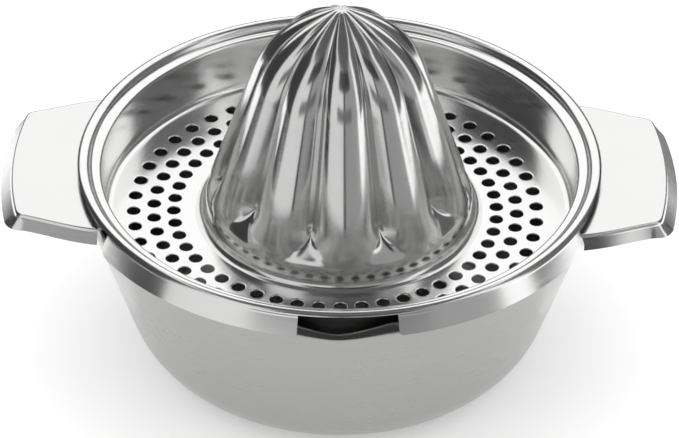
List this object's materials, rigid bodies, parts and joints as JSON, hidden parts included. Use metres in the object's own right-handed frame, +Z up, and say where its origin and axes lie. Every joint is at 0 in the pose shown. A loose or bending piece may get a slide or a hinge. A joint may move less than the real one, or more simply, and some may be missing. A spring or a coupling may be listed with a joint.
{
  "type": "hand citrus juicer",
  "caption": "Steel hand citrus juicer: a round bowl with side handles and pouring lips, under a lift-off strainer with a fluted reamer.",
  "frame": {"origin": "centre of the bowl's flat underside, where the juicer rests on a table", "axes": "+Z up along the bowl's axis, X through the two handles, Y through the two pouring lips"},
  "size_m": [0.1776, 0.1406, 0.1054],
  "materials": {
    "satin_steel": "satin, spun round the bowl's axis",
    "handle_steel": "fine satin",
    "polished_steel": "polished",
    "reamer_steel": "polished"
  },
  "bodies": {
    "bowl": {"bowl": "satin_steel", "handle_left": "handle_steel", "handle_right": "handle_steel"},
    "strainer": {"strainer": "polished_steel", "reamer": "reamer_steel"}
  },
  "joints": [
    {"name": "strainer_lift", "type": "slide", "parent": "bowl", "child": "strainer", "axis": [0, 0, 1], "range_m": [0, 0.07]}
  ]
}
